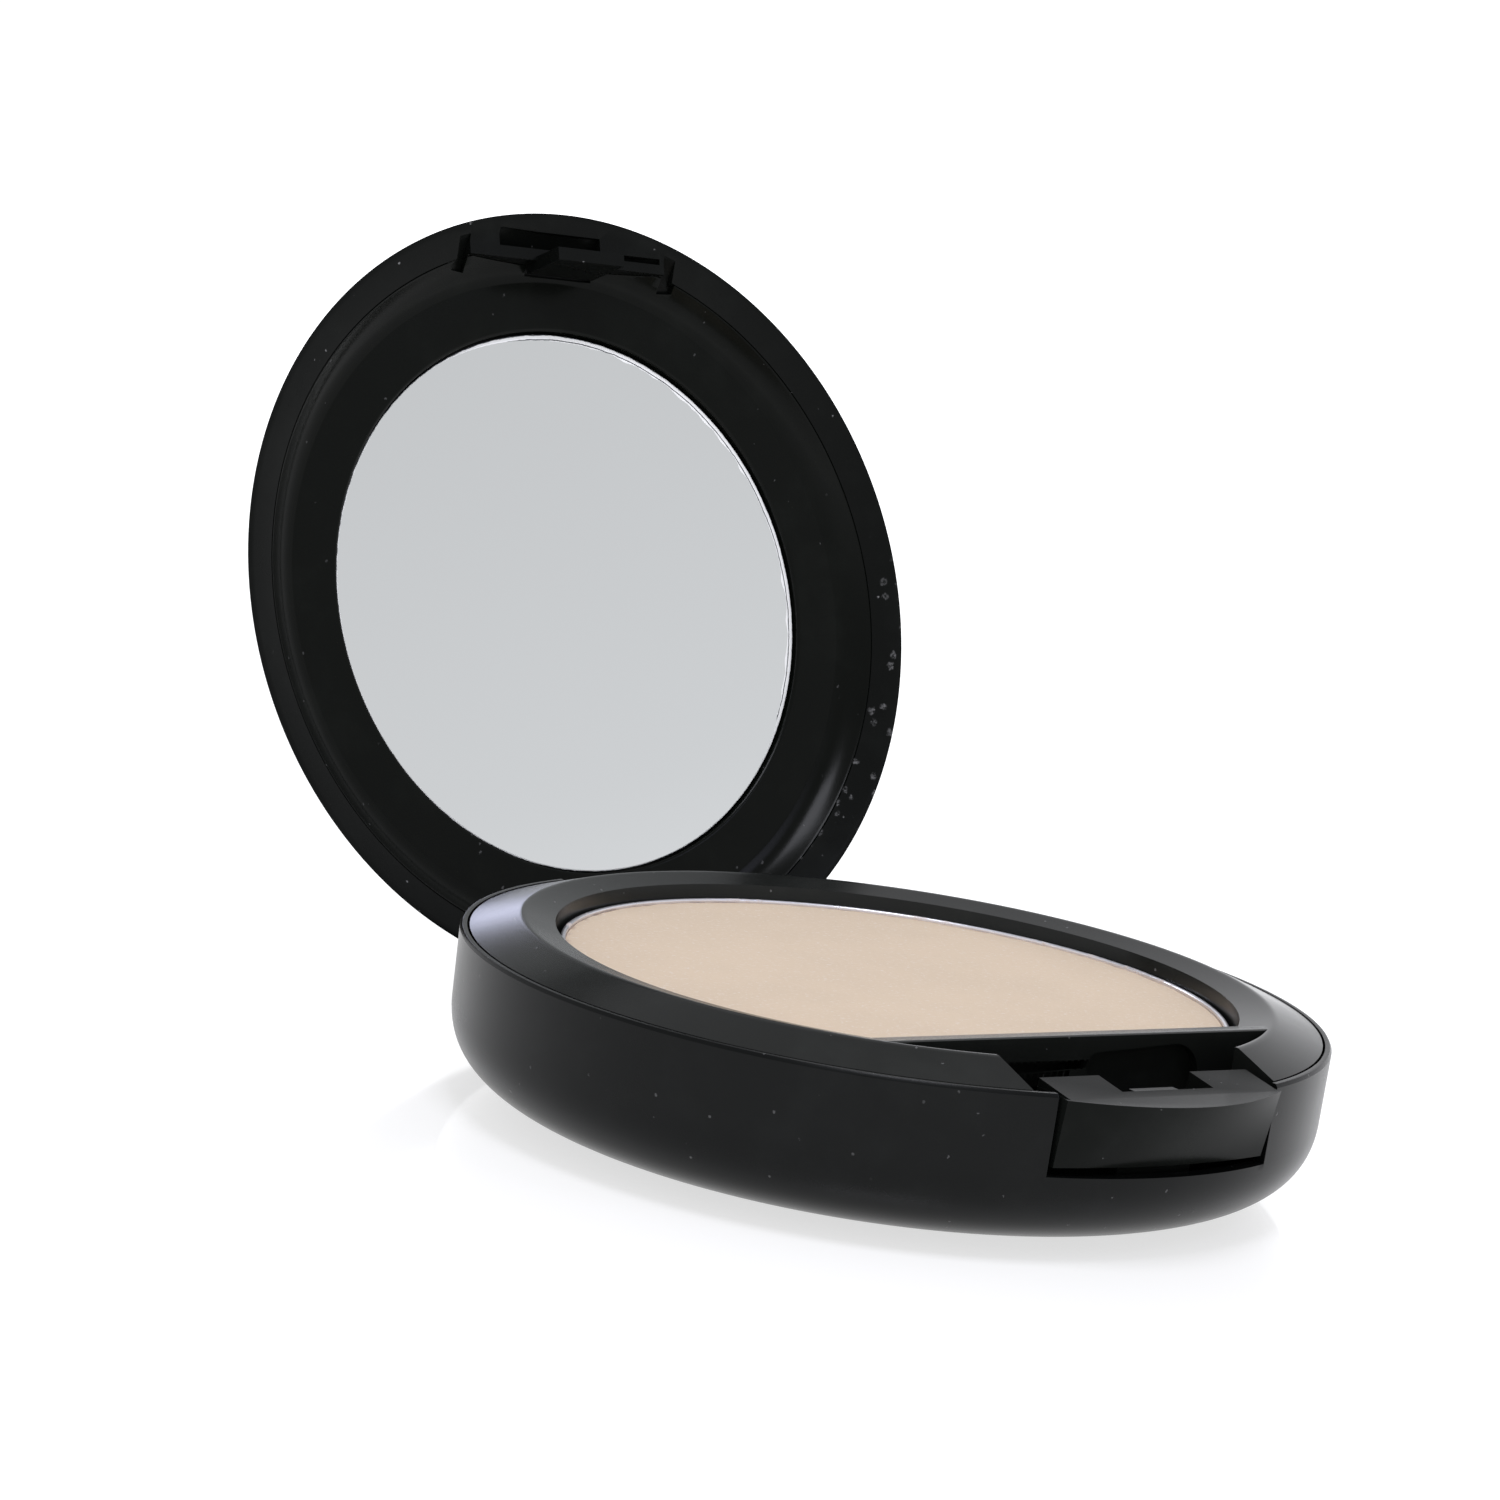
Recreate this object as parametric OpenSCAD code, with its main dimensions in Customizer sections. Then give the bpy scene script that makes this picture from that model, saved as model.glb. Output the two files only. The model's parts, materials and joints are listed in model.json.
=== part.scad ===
// Round powder compact: base with latch button, lift-out powder tray, hinged mirror lid.
// Millimetres, +Z up, +Y towards the hinge. Origin: centre of the underside.

/* [Case] */
// Outer diameter of base and lid
case_d = 78; // [77:0.5:80]
// Height of the base, foot to rim
base_h = 14.6; // [14.4:0.1:15.6]
// Radius of the flat foot
foot_r = 25; // [23:0.5:27]
// Height of the lid over its rim
lid_h = 7.5; // [7.3:0.1:9]
// Wall thickness of the outer shells
wall = 1.2; // [1.1:0.1:1.4]
// Angle of the open lid from shut
open_angle = 110.3; // [0:0.1:112]

/* [Tray] */
// Diameter of the powder pan
pan_d = 60; // [57:0.5:60.4]
// Depth of the pan under its rim
pan_depth = 3.5; // [2.8:0.1:3.6]
// Powder surface below the pan rim
powder_drop = 0.3; // [0.2:0.1:1.5]
// Height of the ring ridge over the rim
ridge_h = 1.54; // [1.2:0.02:1.6]
// Distance of the straight front land from the centre
chord_y = 26; // [25.5:0.1:26.5]

/* [Lid] */
// Diameter of the mirror
mirror_d = 54.7; // [50:0.1:55.2]
// Depth of the mirror face behind the lid rim
mirror_depth = 3.7; // [3.5:0.1:3.8]

/* [Hinge] */
// Distance of the pin axis behind the centre
pin_y = 36.3; // [36.1:0.1:36.5]
// Depth of the pin axis below the rim
pin_drop = 6.9; // [6.7:0.1:7]
// Diameter of the hinge pin
pin_d = 1.5; // [1.3:0.1:1.6]

/* [Latch] */
// Half width of the button
button_hw = 11.7; // [11.3:0.1:11.7]
// Height of the button front face
button_h = 6.15; // [5.4:0.05:6.2]

/* [Hidden] */
R = case_d / 2;
zr = base_h;
belly = zr - 6;
tray_r = R - 0.85;
ridge_r = R - 5.4;
pan_r = pan_d / 2;
pan_z = zr - 0.21;
floor_z = zr - 4.7;
pin_z = zr - pin_drop;
lid_gap = 0.12;
zl = zr + lid_gap;
mirror_r = mirror_d / 2;
front = -(R - 5.3);
eps = 0.01;
$fn = 96;

// Quarter superellipse from (r0, z0) to (r1, z1), flat at its first end.
function bowl(r0, r1, z0, z1, n) = [for (i = [0:18]) let (t = i * 5)
  [r0 + (r1 - r0) * pow(sin(t), 2 / n), z1 - (z1 - z0) * pow(cos(t), 2 / n)]];
// Domed lid profile from the centre out to its rim.
function dome(r1, h) = [for (i = [0:18]) let (q = 1 - pow(1 - i / 18, 2.2))
  [r1 * q, zl + h * pow(1 - pow(q, 5), 0.8)]];
function back(p) = [for (i = [len(p) - 1:-1:0]) p[i]];

// Disc cut off straight at the front, with rounded corners.
module dee(r, y, c = 0.5) offset(r = c) offset(delta = -c) difference() {
  circle(r = r);
  translate([-50, -50 - y]) square([100, 50]);
}

module along_x(hw) rotate([90, 0, 90]) translate([0, 0, -hw]) linear_extrude(2 * hw) children();

module opened() translate([0, pin_y, pin_z]) rotate([-open_angle, 0, 0])
  translate([0, -pin_y, -pin_z]) children();

module base_shell() color("#232327") difference() {
  rotate_extrude() polygon(concat([[0, 0]], bowl(foot_r, R - 0.1, 0, belly, 2.5),
    [[R, zr - 0.3], [R - 0.2, zr], [R - 0.62, zr], [R - 0.62, zr - 1.5], [R - wall - 0.1, zr - 2]],
    back(bowl(foot_r - 0.2, R - wall - 0.1, wall, belly, 2.5)), [[0, wall]]));
  translate([0, 0, -1]) cylinder(r = 20.15, h = 1.2);
  translate([-11.95, -R - 5, zr - 6.9]) cube([23.9, 12, 10]);
  translate([-12, 31, 3.3]) cube([24, 15, 20]);
}

module bottom_label() color("#c9c9cc") cylinder(r = 20, h = 0.2);

module base_liner() color("#1c1c1f") difference() {
  union() {
    cylinder(r = 12, h = 2.4 - eps + eps);
    translate([0, 0, 2.3]) linear_extrude(floor_z - 2.3) dee(pan_r + 1.2, 27);
    translate([-6, -31, 3.4]) cube([12, 6, floor_z - 3.7]);
    translate([-14, -30, floor_z - 2]) cube([28, 5, 1.7]);
    for (s = [-1, 1]) translate([s * 10.2, 0, 0]) along_x(1.2) polygon([[29, 3.4], [32, 3.4],
      [34.2, 5], [R - 0.9, 5.4], [R - 0.7, pin_z + 1.9], [R - 1.8, floor_z], [29, floor_z]]);
  }
  translate([0, 0, -1]) cylinder(r = 30, h = 1 + wall);
  translate([0, 0, 3.1]) linear_extrude(20) dee(pan_r + 0.2, 26);
  translate([0, pin_y, pin_z]) rotate([0, 90, 0]) cylinder(d = pin_d, h = 40, center = true, $fn = 48);
}

module hinge_pin() color("#b9babd") translate([0, pin_y, pin_z]) rotate([0, 90, 0])
  cylinder(d = pin_d, h = 22.8, center = true, $fn = 48);

module latch_spring() color("#b0b2b5") translate([0, -31, 7.2]) rotate([90, 0, 0]) difference() {
  union() {
    cylinder(r = 1.1, h = 3, $fn = 48);
    for (k = [0:4]) translate([0, 0, 0.1 + 0.6 * k]) cylinder(r = 1.35, h = 0.35, $fn = 48);
  }
  translate([0, 0, -1]) cylinder(r = 0.9, h = 5, $fn = 48);
}

module sponge() color("#efe6da") translate([0, 2, 3.1]) rotate_extrude()
  polygon([[0, 0], [25.4, 0], [26, 0.8], [26, 5.2], [25.2, 6], [0, 6]]);

module powder_tray() color("#26262b") difference() {
  union() {
    rotate_extrude() polygon([[pan_r + 0.3, floor_z], [pan_r + 1.3, floor_z],
      [pan_r + 1.3, zr - 1.9], [ridge_r - 0.2, zr - 0.5], [tray_r - 0.1, zr - 0.5],
      [tray_r, zr - 0.35], [tray_r, zr], [ridge_r + 0.5, zr + ridge_h - 0.12],
      [ridge_r + 0.15, zr + ridge_h], [ridge_r - 0.15, zr + ridge_h],
      [ridge_r - 0.45, zr + ridge_h - 0.08], [pan_r + 0.65, zr + ridge_h - 0.56],
      [pan_r + 0.35, zr - 0.8], [pan_r + 0.3, zr - 2]]);
    translate([0, 0, floor_z]) linear_extrude(0.9) difference() {
      circle(r = pan_r + 0.9);
      translate([-13.8, -50]) square([27.6, 18.2]);
    }
    intersection() {
      along_x(34) polygon([[-chord_y, floor_z], [-chord_y, zr + 1.42], [0.3 - chord_y, zr + 1.5],
        [3.1 - chord_y, zr + 0.98], [3.3 - chord_y, zr - 0.8], [3.3 - chord_y, floor_z]]);
      translate([0, 0, floor_z]) cylinder(r1 = pan_r + 1.2, r2 = ridge_r + 2, h = 4.3);
    }
    intersection() {
      along_x(34) polygon([[-chord_y, zr - 0.6], [-chord_y, zr + 1.42], [0.3 - chord_y, zr + 1.5],
        [3.1 - chord_y, zr + 0.98], [3.3 - chord_y, zr - 0.6]]);
      translate([0, 0, zr - 1]) cylinder(r = ridge_r - 0.2, h = 5);
    }
  }
  // open recess in front of the land
  intersection() {
    translate([-40, -50 - chord_y, zr - 3.8]) cube([80, 50, 10]);
    translate([0, 0, zr - 3.8]) cylinder(r = ridge_r - 0.25, h = 10);
  }
  // gap for the button
  translate([-13.5, -50, 0]) cube([26, 18.2, 30]);
  translate([-13.5, -50, zr - 1.5]) cube([26, 19.4, 9]);
  translate([-13.8, -36, 0]) cube([27.6, 4.2, zr - 1]);
  // finger scoop
  hull() {
    translate([10.4, 0.9 - chord_y, zr - 2.5]) rotate([90, 0, 0]) cylinder(r = 3, h = 3, $fn = 32);
    translate([1.8, 0.9 - chord_y, zr - 1.2]) rotate([90, 0, 0]) cylinder(r = 1.2, h = 3, $fn = 32);
  }
}

module powder_pan() color("#c8c6cf") difference() {
  translate([0, 0, pan_z - pan_depth]) linear_extrude(pan_depth) dee(pan_r, chord_y - 3.5, 2);
  translate([0, 0, pan_z - pan_depth + 0.4]) linear_extrude(9) dee(pan_r - 0.4, chord_y - 3.9, 1.6);
}

module pressed_powder() color("#dbc8b6") translate([0, 0, pan_z - pan_depth + 0.4])
  linear_extrude(pan_depth - 0.4 - powder_drop) dee(pan_r - 0.42, chord_y - 3.92, 1.6);

module pan_adhesive() color("#e4e0d2") translate([0, 2, floor_z + 0.9])
  cylinder(r = 20, h = pan_z - pan_depth - floor_z - 0.9);

module lid_solid(d) rotate_extrude() polygon(concat([[0, zl - 0.2]], dome(R - 0.06 - d, lid_h - d)));

module lid_shell() color("#232327") opened() difference() {
  union() {
    difference() {
      rotate_extrude() polygon(concat([[0, zl]], dome(R - 0.06, lid_h)));
      rotate_extrude() polygon(concat([[0, zl - 1], [R - 0.7, zl - 1], [R - 0.7, zl],
        [R - 3.15, zl + 1.1], [R - 3.15, zl + 2.15]],
        [for (q = back(dome(R - 1.1, lid_h - 1))) if (q[0] < R - 3.2) q]));
    }
    // hinge arm and knuckle
    along_x(8.7) polygon([[R - 1.8, zl + 0.7], [R - 1.8, zl + 1.9], [R - 0.3, zl + 1.7],
      [R + 0.4, zl + 0.8], [R + 0.4, pin_z + 2], [R - 0.4, pin_z - 1.2], [pin_y, pin_z - 2.2],
      [pin_y, pin_z + 2.2], [R - 0.7, pin_z + 2.6], [R - 0.7, zl + 0.3]]);
    translate([0, pin_y, pin_z]) rotate([0, 90, 0]) cylinder(r = 2.2, h = 17.4, center = true);
    // catch block and hook
    intersection() {
      translate([-11.7, front - 4.1, zl + 0.5]) cube([23.4, 3.8, 5]);
      lid_solid(0.3);
    }
    difference() {
      translate([-3.9, front - 0.7, zl - 3.5]) cube([7.8, 1.3, 5.9]);
      translate([-2.6, front - 1, zl - 2]) cube([5.2, 1.05, 1.9]);
    }
  }
  translate([0, pin_y, pin_z]) rotate([0, 90, 0])
    cylinder(r = pin_d / 2 + 0.05, h = 40, center = true, $fn = 48);
  // sockets in the catch block
  intersection() {
    union() {
      translate([-8.2, front - 3.3, zl]) cube([12.1, 1.8, 2.2]);
      translate([6.8, front - 1.9, zl]) cube([4.4, 0.6, 2.2]);
      for (s = [-1, 1]) translate([s * 12.35 - 0.65, front - 3.1, zl]) cube([1.3, 3.6, 2.6]);
    }
    lid_solid(1);
  }
}

module lid_frame() color("#1a1a1d") opened() difference() {
  rotate_extrude() polygon(concat([[R - 3.25, zl + 2], [R - 3.25, zl + 1.15]],
    [for (i = [0:8]) let (t = i / 8)
      [R - 3.3 - 3.2 * t, zl + 1.15 + 1.85 * (t + 0.2 * sin(180 * t))]],
    [[mirror_r + 0.6, zl + 3], [mirror_r + 0.25, zl + 3.2],
     [mirror_r + 0.25, zl + mirror_depth + 1], [0, zl + mirror_depth + 1],
     [0, zl + mirror_depth + 1.4], [R - 11.4, zl + mirror_depth + 1.4], [R - 9, zl + 4.5],
     [R - 6.5, zl + 3.7], [R - 5.5, zl + 3.25], [R - 4.5, zl + 2.72]]));
  translate([-11.8, front - 8, zl - 1]) cube([23.6, 7.75, 9]);
  translate([-4, front - 8, zl - 1]) cube([8, 8.7, 9]);
  for (s = [-1, 1]) translate([s * 12.5 - 0.8, front - 8, zl - 1]) cube([1.6, 9.3, 9]);
}

module mirror() color("#c9cdcc") opened() translate([0, 0, zl + mirror_depth])
  cylinder(r = mirror_r, h = 0.9);

module mirror_adhesive() color("#d8d8d0") opened() translate([0, 0, zl + mirror_depth + 0.9])
  cylinder(r = mirror_r - 3, h = 0.1);

module button_plan(hw, y, bow) polygon(concat([[-hw + 0.3, front], [hw - 0.3, front]],
  [for (i = [8:-1:-8]) [hw * i / 8, y - bow * (1 - pow(i / 8, 2))]]));

module latch_button() color("#2a2a2f") difference() {
  union() {
    hull() {
      translate([0, 0, zr - button_h]) linear_extrude(eps) button_plan(button_hw - 0.3, 2 - R, 1.1);
      translate([0, 0, zr - 0.3]) linear_extrude(eps) button_plan(button_hw, 1.1 - R, 3.4);
    }
    along_x(button_hw - 0.35) polygon([[front, zr - 0.5], [front, zr + 0.4], [front - 4.2, zr - 0.3],
      [front - 4.2, zr - 0.5]]);
    // guide foot and stop ears
    translate([-4, front - 2.8, 5.9]) cube([8, 2.8, zr - button_h - 5.4]);
    for (s = [-1, 1]) translate([s * 12 - 1.2, front - 0.7, zr - 5.9]) cube([2.4, 1.3, 4]);
  }
  // notch with its centre tongue
  for (s = [-1, 1]) translate([s * 3.7 - 1.3, front - 3.1, zr - 3.7]) cube([2.6, 5, 9]);
  translate([-3, front - 3.1, zr - 0.55]) cube([6, 5, 9]);
  translate([-3, front - 1, zr - 3.7]) cube([6, 5, 9]);
  translate([-3, front - 3.1, zr - 3.7]) cube([6, 5, 2.3]);
  // spring pocket
  translate([0, front + 1, 7.2]) rotate([90, 0, 0]) cylinder(r = 1.5, h = 2.6, $fn = 48);
}

base_shell();
base_liner();
hinge_pin();
latch_spring();
sponge();
bottom_label();
powder_tray();
powder_pan();
pressed_powder();
pan_adhesive();
lid_shell();
lid_frame();
mirror();
mirror_adhesive();
latch_button();
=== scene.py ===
"""Round powder compact, open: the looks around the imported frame.

Every piece is built in metres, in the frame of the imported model. The lid's pieces are drawn shut and
then turned about the hinge pin to the stored, open pose.
"""

import json
import logging
import math
import random
from dataclasses import dataclass
from enum import Enum
from typing import Optional, Sequence, Union

import bmesh
import bpy
from mathutils import Matrix, Vector


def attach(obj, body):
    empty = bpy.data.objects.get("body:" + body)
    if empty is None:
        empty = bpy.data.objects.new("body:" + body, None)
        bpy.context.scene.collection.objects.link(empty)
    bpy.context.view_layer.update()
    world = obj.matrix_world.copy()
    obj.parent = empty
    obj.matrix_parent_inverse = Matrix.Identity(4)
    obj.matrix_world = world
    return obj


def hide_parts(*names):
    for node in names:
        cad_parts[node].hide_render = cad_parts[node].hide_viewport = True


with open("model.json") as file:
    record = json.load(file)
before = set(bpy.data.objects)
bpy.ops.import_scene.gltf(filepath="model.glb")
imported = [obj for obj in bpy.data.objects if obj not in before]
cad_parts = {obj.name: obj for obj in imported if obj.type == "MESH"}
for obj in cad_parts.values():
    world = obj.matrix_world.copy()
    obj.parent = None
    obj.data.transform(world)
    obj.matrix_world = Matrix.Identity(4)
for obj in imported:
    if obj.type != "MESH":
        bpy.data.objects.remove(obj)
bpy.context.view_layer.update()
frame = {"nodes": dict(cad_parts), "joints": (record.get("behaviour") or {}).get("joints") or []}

MM = 0.001
logging.basicConfig(level=logging.INFO, format="%(message)s")
log = logging.getLogger("compact")

Number = Union[int, float]
Ring = list[Vector]
Profile = list[tuple[float, float]]


class Body(str, Enum):
    """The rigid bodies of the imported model."""

    BASE = "base"
    LID = "lid"
    LATCH = "latch"


class Slot(str, Enum):
    """The record's material slot names; no new piece here takes one."""

    CASE = "case_black"
    INNER = "inner_black"
    TRAY = "tray_black"
    STEEL = "steel"
    SPONGE = "sponge"
    PAN = "pan_metal"
    POWDER = "powder"
    MIRROR = "mirror_glass"


# ---------------------------------------------------------------- shader graph


class Signal:
    """One output socket that can take part in sums on values."""

    def __init__(self, graph: "Graph", socket: bpy.types.NodeSocket) -> None:
        """Keeps the graph and the socket."""
        self.graph = graph
        self.socket = socket

    def _maths(self, operation: str, *terms: Union["Signal", Number]) -> "Signal":
        """Adds a Math node.

        Args:
            operation: Blender's name of the operation.
            terms: its inputs, in order.

        Returns:
            The result as a new signal.
        """
        return self.graph.node("ShaderNodeMath", {"operation": operation}, dict(enumerate(terms)))

    def __add__(self, other: Union["Signal", Number]) -> "Signal":
        """Sum."""
        return self._maths("ADD", self, other)

    __radd__ = __add__

    def __mul__(self, other: Union["Signal", Number]) -> "Signal":
        """Product."""
        return self._maths("MULTIPLY", self, other)

    __rmul__ = __mul__

    def __sub__(self, other: Union["Signal", Number]) -> "Signal":
        """Difference."""
        return self._maths("SUBTRACT", self, other)

    def __rsub__(self, other: Number) -> "Signal":
        """Reflected difference, so that 1 - mask works."""
        return self._maths("SUBTRACT", other, self)

    def __pow__(self, other: Number) -> "Signal":
        """Power."""
        return self._maths("POWER", self, other)

    def folded(self, width: Number) -> "Signal":
        """A zigzag between 0 and a width."""
        return self._maths("PINGPONG", self, width)

    def above(self, level: Number, width: Number) -> "Signal":
        """A soft step.

        Args:
            level: where the step starts.
            width: how far it takes to reach 1.

        Returns:
            0 under the level, 1 past level + width.
        """
        settings = {"interpolation_type": "SMOOTHSTEP"}
        return self.graph.node("ShaderNodeMapRange", settings, {0: self, 1: level, 2: level + width})


class Graph:
    """A material's node tree, with one method for adding any node."""

    def __init__(self, name: str) -> None:
        """Makes the material with an empty tree and a Principled shader."""
        self.material = bpy.data.materials.new(name)
        self.material.use_nodes = True
        self.tree = self.material.node_tree
        self.shader = self.tree.nodes["Principled BSDF"]

    def node(
        self,
        kind: str,
        settings: Optional[dict] = None,
        inputs: Optional[dict] = None,
        out: Union[int, str] = 0,
    ) -> Signal:
        """Adds a node, sets it up and feeds it.

        Args:
            kind: Blender's node type.
            settings: properties, set before the inputs.
            inputs: values or signals by socket name or number.
            out: the output that is returned.

        Returns:
            The chosen output as a signal.
        """
        made = self.tree.nodes.new(kind)
        for key, value in (settings or {}).items():
            setattr(made, key, value)
        for key, value in (inputs or {}).items():
            self.feed(made.inputs[key], value)
        return Signal(self, made.outputs[out])

    def feed(self, socket: bpy.types.NodeSocket, value: object) -> None:
        """Links a signal to a socket, or sets the socket's own value."""
        if isinstance(value, Signal):
            self.tree.links.new(value.socket, socket)
        else:
            socket.default_value = value

    def surface(self, **values: object) -> bpy.types.Material:
        """Feeds the Principled shader.

        Args:
            values: values or signals by socket name, with _ for each space.

        Returns:
            The finished material.
        """
        for key, value in values.items():
            self.feed(self.shader.inputs[key.replace("_", " ")], value)
        return self.material

    def place(self) -> Signal:
        """Object coordinates, in metres."""
        return self.node("ShaderNodeTexCoord", out="Object")

    def noise(self, scale: float, detail: float, rough: float, at: Optional[Signal] = None) -> Signal:
        """Fractal noise on Object coordinates.

        Args:
            scale: cells per metre.
            detail: octaves.
            rough: weight of the finer octaves.
            at: other coordinates, if not the object's.

        Returns:
            The noise value, about 0.5 on average.
        """
        feeds = {"Vector": at or self.place(), "Scale": scale, "Detail": detail, "Roughness": rough}
        return self.node("ShaderNodeTexNoise", None, feeds)

    def specks(self, scale: float, size: float, rarity: float = 0.94) -> Signal:
        """Sparse, uneven flecks.

        Args:
            scale: cells per metre.
            size: radius of a fleck in cells.
            rarity: share of the cells with no fleck.

        Returns:
            A mask, 1 inside a fleck.
        """
        wobble = self.noise(scale * 2.5, 3.0, 0.7)
        sway = (0.7 / scale,) * 3
        bent = self.node(
            "ShaderNodeVectorMath", {"operation": "MULTIPLY_ADD"}, {0: wobble, 1: sway, 2: self.place()}
        )
        feeds = {"Vector": bent, "Scale": scale, "Randomness": 1.0}
        gap = self.node("ShaderNodeTexVoronoi", {"feature": "F1"}, feeds, "Distance")
        pick = self.node("ShaderNodeTexVoronoi", {"feature": "F1"}, feeds, "Color")
        chance = self.node("ShaderNodeSeparateColor", None, {0: pick})
        return (1 - gap.above(size * 0.6, size * 0.4)) * chance.above(rarity, 0.02)

    def mix(self, mask: Union[Signal, Number], low: object, high: object) -> Signal:
        """Mixes two colours by a mask, the first where it is 0."""
        feeds = {0: mask, 6: low, 7: high}
        return self.node("ShaderNodeMix", {"data_type": "RGBA"}, feeds, 2)

    def bump(self, height: Signal, depth: float, strength: float = 1.0) -> Signal:
        """A Bump node over a height signal, with its depth in metres."""
        feeds = {"Height": height, "Distance": depth, "Strength": strength}
        return self.node("ShaderNodeBump", None, feeds)

    def axes(self) -> tuple[Signal, Signal, Signal]:
        """The three Object coordinates as separate signals."""
        split = self.node("ShaderNodeSeparateXYZ", None, {0: self.place()})
        return tuple(Signal(self, out) for out in split.socket.node.outputs)

    def reach(self, centre: Sequence[float] = (0.0, 0.0)) -> Signal:
        """Distance from a point in space or, with two coordinates, from an upright axis, in metres."""
        apart = [axis - middle if middle else axis for axis, middle in zip(self.axes(), centre)]
        total = apart[0] * apart[0]
        for one in apart[1:]:
            total = total + one * one
        return total**0.5


def rgb(*value: float) -> tuple[float, float, float, float]:
    """A linear colour with full alpha."""
    return (*value, 1.0)


# ---------------------------------------------------------------- finishes


@dataclass(frozen=True)
class SatinPlastic:
    """Moulded black plastic: fine spark grain, faint handling marks, a little dust."""

    name: str
    tone: tuple[float, float, float]
    gloss: float
    shine: float = 0.5
    dust: float = 0.35
    grain: float = 1.0
    dusty_corner: bool = False
    corner_x: float = 22 * MM
    corner_top: float = 48 * MM
    speck: tuple[float, float, float] = (0.35, 0.35, 0.36)

    def make(self) -> bpy.types.Material:
        """Builds the material."""
        g = Graph(self.name)
        wear = g.noise(160, 4, 0.6)
        smear = g.noise(45, 3, 0.55)
        fine = g.noise(9000, 3, 0.6)
        fleck = g.specks(1300, 0.2, 0.955) * self.dust
        if self.dusty_corner:
            x, _, z = g.axes()
            fade = 12 * MM
            corner = x.above(self.corner_x, 8 * MM) * (1 - z.above(self.corner_top - fade, fade))
            ragged = g.noise(3200, 4, 0.75).above(0.36, 0.3)
            fleck = fleck + g.specks(760, 0.36, 0.62) * corner * ragged * self.dust * 0.8
        worn = rgb(*(c * 1.35 + 0.0006 for c in self.tone))
        colour = g.mix(fleck, g.mix(wear.above(0.45, 0.3), rgb(*self.tone), worn), rgb(*self.speck))
        roughness = self.gloss + (smear - 0.5) * 0.14 + (wear - 0.5) * 0.06 + fleck * 0.3
        relief = fine + fleck * 0.5
        return g.surface(
            Base_Color=colour,
            Roughness=roughness,
            Specular_IOR_Level=self.shine,
            Normal=g.bump(relief, 0.000004 * self.grain, 0.6),
        )


@dataclass(frozen=True)
class PowderCake:
    """Pressed mineral powder: matt, very fine grain, a darker rubbed line at the edge."""

    name: str = "pressed_powder_beige"
    tone: tuple[float, float, float] = (0.784, 0.635, 0.478)
    edge_from: float = 28.9 * MM

    def make(self) -> bpy.types.Material:
        """Builds the material."""
        g = Graph(self.name)
        y = g.axes()[1]
        cloud = g.noise(70, 4, 0.55)
        grain = g.noise(2600, 3, 0.7)
        body = g.mix(cloud.above(0.35, 0.3), rgb(*self.tone), rgb(*(c * 0.965 for c in self.tone)))
        body = g.mix(grain.above(0.56, 0.16) * 0.16, body, rgb(0.55, 0.42, 0.32))
        body = g.mix(1 - grain.above(0.3, 0.14), body, rgb(0.84, 0.73, 0.63))
        crumbs = g.noise(520, 4, 0.7).above(0.5, 0.12)
        rub = g.reach().above(self.edge_from, 0.6 * MM) * crumbs * y.above(4 * MM, 20 * MM)
        body = g.mix(rub * 0.75, body, rgb(0.36, 0.24, 0.18))
        soft = g.noise(240, 2, 0.5)
        height = grain * 0.6 + soft * 1.2 - rub * 0.6
        return g.surface(
            Base_Color=body,
            Roughness=0.93,
            Specular_IOR_Level=0.18,
            Sheen_Weight=0.06,
            Normal=g.bump(height, 0.00004, 0.45),
        )


@dataclass(frozen=True)
class PanMetal:
    """Stamped bright aluminium with drawing marks and traces of powder."""

    name: str = "pan_aluminium"
    tone: tuple[float, float, float] = (0.80, 0.79, 0.84)

    def make(self) -> bpy.types.Material:
        """Builds the material."""
        g = Graph(self.name)
        wave = g.noise(900, 4, 0.65)
        dust = g.noise(380, 4, 0.7).above(0.56, 0.12)
        colour = g.mix(dust * 0.55, rgb(*self.tone), rgb(0.66, 0.53, 0.43))
        return g.surface(
            Base_Color=colour,
            Metallic=1 - dust * 0.8,
            Roughness=0.22 + wave * 0.16 + dust * 0.35,
            Normal=g.bump(wave, 0.00001, 0.5),
        )


@dataclass(frozen=True)
class SilveredGlass:
    """Flat silvered mirror: nearly perfect, with a faint haze of dust."""

    name: str = "mirror_silvered"
    tone: tuple[float, float, float] = (0.86, 0.88, 0.875)

    def make(self) -> bpy.types.Material:
        """Builds the material."""
        g = Graph(self.name)
        haze = g.noise(60, 5, 0.6)
        dust = g.specks(260, 0.06) * 0.6
        colour = g.mix(dust, rgb(*self.tone), rgb(0.5, 0.5, 0.5))
        return g.surface(
            Base_Color=colour,
            Metallic=1.0,
            Roughness=0.015 + haze.above(0.45, 0.4) * 0.02 + dust * 0.3,
        )


@dataclass(frozen=True)
class GroundEdge:
    """Ground and chipped glass edge, bright where the silver ends, partly its own pale colour and partly a
    painted highlight, with painted dark shade lines.
    """

    name: str = "mirror_ground_edge"
    centre: tuple[float, float, float] = (0.0, 59.2 * MM, 37.9 * MM)
    shade_line_every: float = 0.24 * MM
    shade_line_sway: float = 0.25 * MM

    def make(self) -> bpy.types.Material:
        """Builds the material."""
        g = Graph(self.name)
        chips = g.noise(900, 4, 0.7)
        reach = g.reach(self.centre) + (chips - 0.5) * self.shade_line_sway
        streak = reach.folded(self.shade_line_every)
        # painted shade: dark lines repeated across the pale edge, in place of the shade between its bright
        # reflected lines
        painted_shade_line = 1 - streak.above(0.03 * MM, 0.05 * MM)
        colour = g.mix(painted_shade_line, rgb(0.97, 0.98, 0.98), rgb(0.03, 0.035, 0.04))
        return g.surface(
            Base_Color=colour,
            Metallic=0.1,
            Roughness=0.3 + chips * 0.3,
            Normal=g.bump(chips, 0.00004, 0.6),
        )


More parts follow.
